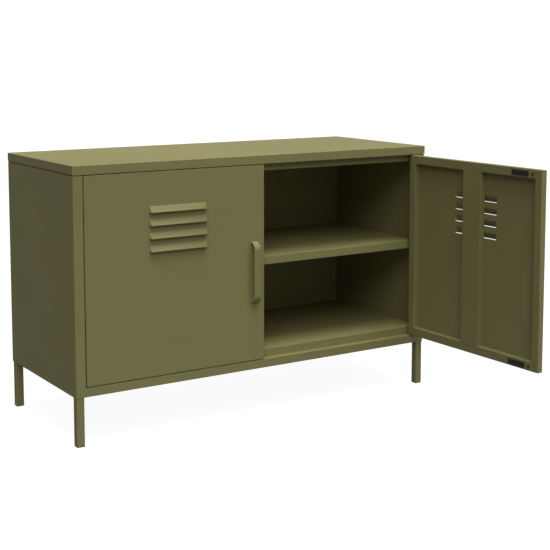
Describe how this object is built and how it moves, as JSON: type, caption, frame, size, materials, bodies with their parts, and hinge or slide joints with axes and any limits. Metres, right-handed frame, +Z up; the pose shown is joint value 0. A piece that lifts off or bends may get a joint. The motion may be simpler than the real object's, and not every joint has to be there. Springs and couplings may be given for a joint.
{
  "type": "sideboard",
  "caption": "Low sheet-metal sideboard with inset louvred doors on hinge pins, one shelf, bowed pull handles and square tube legs; one door stands open.",
  "frame": {"origin": "on the floor, at the centre of the rectangle that the lid covers; the lid's outline is symmetric about it", "axes": "+X to the right when facing the doors, +Y to the back, +Z up"},
  "size_m": [1, 0.8631, 0.64],
  "materials": {
    "olive_paint": "satin olive green powder coat with a fine texture",
    "foot_plastic": "matt black moulded plastic",
    "zinc_steel": "bright zinc plated",
    "magnet_casing": "dark grey plastic casing",
    "buffer_rubber": "soft black rubber",
    "bush_nylon": "black nylon"
  },
  "bodies": {
    "cabinet": {"lid": "olive_paint", "left_side_panel": "olive_paint", "right_side_panel": "olive_paint", "back_panel": "olive_paint", "deck": "olive_paint", "front_rail": "olive_paint", "back_rail": "olive_paint", "header_rail": "olive_paint", "shelf": "olive_paint", "shelf_clips": "olive_paint", "front_left_leg": "olive_paint", "front_right_leg": "olive_paint", "back_left_leg": "olive_paint", "back_right_leg": "olive_paint", "front_left_foot": "foot_plastic", "front_right_foot": "foot_plastic", "back_left_foot": "foot_plastic", "back_right_foot": "foot_plastic", "leg_bolts": "zinc_steel", "leg_nuts": "zinc_steel", "lid_screws": "zinc_steel", "back_screws": "zinc_steel", "hinge_bushes": "bush_nylon"},
    "left_door_leaf": {"left_door": "olive_paint", "left_door_rib": "olive_paint", "left_handle": "olive_paint", "left_handle_screws": "olive_paint", "left_door_pins": "zinc_steel", "left_door_magnets": "magnet_casing", "left_door_buffers": "buffer_rubber"},
    "right_door_leaf": {"right_door": "olive_paint", "right_door_rib": "olive_paint", "right_handle": "olive_paint", "right_handle_screws": "olive_paint", "right_door_pins": "zinc_steel", "right_door_magnets": "magnet_casing", "right_door_buffers": "buffer_rubber"}
  },
  "joints": [
    {"name": "left_door_hinge", "type": "hinge", "parent": "cabinet", "child": "left_door_leaf", "pos_m": [-0.469, -0.1952, 0.377], "axis": [0, 0, -1], "range_deg": [0, 110]},
    {"name": "right_door_hinge", "type": "hinge", "parent": "cabinet", "child": "right_door_leaf", "pos_m": [0.469, -0.1952, 0.377], "axis": [0, 0, 1], "range_deg": [-91, 19]}
  ]
}
